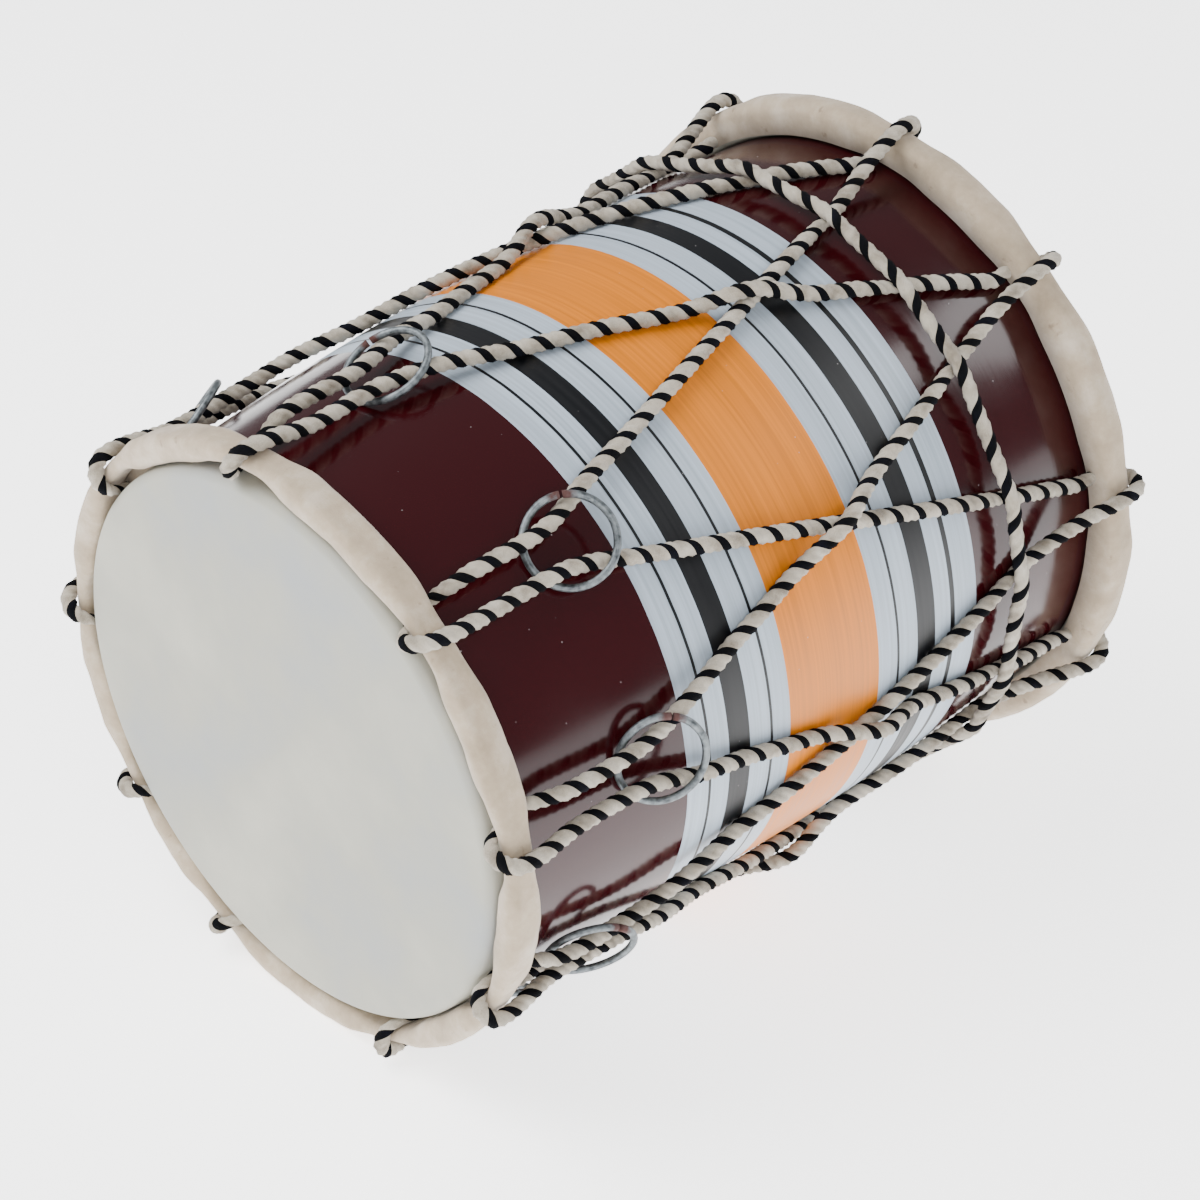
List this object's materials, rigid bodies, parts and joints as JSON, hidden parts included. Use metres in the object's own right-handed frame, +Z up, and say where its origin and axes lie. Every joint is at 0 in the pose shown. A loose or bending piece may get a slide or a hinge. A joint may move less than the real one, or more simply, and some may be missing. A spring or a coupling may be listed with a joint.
{
  "type": "dholak drum",
  "caption": "Two-headed wooden barrel drum, rope laced between hooped goatskin heads, with sliding tuning rings and painted bands.",
  "frame": {"origin": "centre of the object's box in X and Y, at the floor it lies on", "axes": "+X from the smaller treble head to the larger bass head, +Y sideways, +Z up; the drum's own axis lies in the XZ plane and rises about 2.9 degrees towards +X"},
  "size_m": [0.3372, 0.279, 0.277],
  "materials": {
    "lacquered_wood": "deep maroon gloss lacquer with white, black and orange painted bands",
    "goatskin": "matt rawhide on the head, cream suede round the hoop",
    "cane": "split cane, plain",
    "tuning_paste": "dull black tar, oil and sand paste",
    "cotton_rope": "cream laid cotton rope with one navy strand",
    "cotton_cross_rope": "cream laid cotton rope, soft",
    "galvanised_wire": "dull galvanised wire with rust at the split"
  },
  "bodies": {
    "drum": {"shell": "lacquered_wood", "treble_skin": "goatskin", "treble_hoop": "cane", "bass_skin": "goatskin", "bass_hoop": "cane", "bass_tuning_paste": "tuning_paste", "lacing_rope": "cotton_rope", "waist_rope": "cotton_cross_rope"},
    "ring_1": {"tuning_ring_1": "galvanised_wire"},
    "ring_2": {"tuning_ring_2": "galvanised_wire"},
    "ring_3": {"tuning_ring_3": "galvanised_wire"},
    "ring_4": {"tuning_ring_4": "galvanised_wire"},
    "ring_5": {"tuning_ring_5": "galvanised_wire"},
    "ring_6": {"tuning_ring_6": "galvanised_wire"},
    "ring_7": {"tuning_ring_7": "galvanised_wire"},
    "ring_8": {"tuning_ring_8": "galvanised_wire"},
    "ring_9": {"tuning_ring_9": "galvanised_wire"}
  },
  "joints": [
    {"name": "ring_slide_1", "type": "slide", "parent": "drum", "child": "ring_1", "axis": [0.9959, 0.0383, 0.0818], "range_m": [-0.001, 0.02603]},
    {"name": "ring_slide_2", "type": "slide", "parent": "drum", "child": "ring_2", "axis": [0.995, 0.0044, 0.0995], "range_m": [-0.02703, 0]},
    {"name": "ring_slide_3", "type": "slide", "parent": "drum", "child": "ring_3", "axis": [0.9956, -0.0331, 0.0871], "range_m": [-0.02503, 0.002]},
    {"name": "ring_slide_4", "type": "slide", "parent": "drum", "child": "ring_4", "axis": [0.9971, -0.0493, 0.058], "range_m": [-0.02603, 0.001]},
    {"name": "ring_slide_5", "type": "slide", "parent": "drum", "child": "ring_5", "axis": [0.9987, -0.0441, 0.0264], "range_m": [-0.001, 0.02603]},
    {"name": "ring_slide_6", "type": "slide", "parent": "drum", "child": "ring_6", "axis": [0.9998, -0.0203, 0.0042], "range_m": [-0.003, 0.02403]},
    {"name": "ring_slide_7", "type": "slide", "parent": "drum", "child": "ring_7", "axis": [0.9998, 0.0195, 0.0039], "range_m": [-0.00501, 0.02203]},
    {"name": "ring_slide_8", "type": "slide", "parent": "drum", "child": "ring_8", "axis": [0.999, 0.0404, 0.0205], "range_m": [-0.02103, 0.00601]},
    {"name": "ring_slide_9", "type": "slide", "parent": "drum", "child": "ring_9", "axis": [0.9974, 0.0499, 0.0515], "range_m": [-0.01502, 0.01201]}
  ]
}
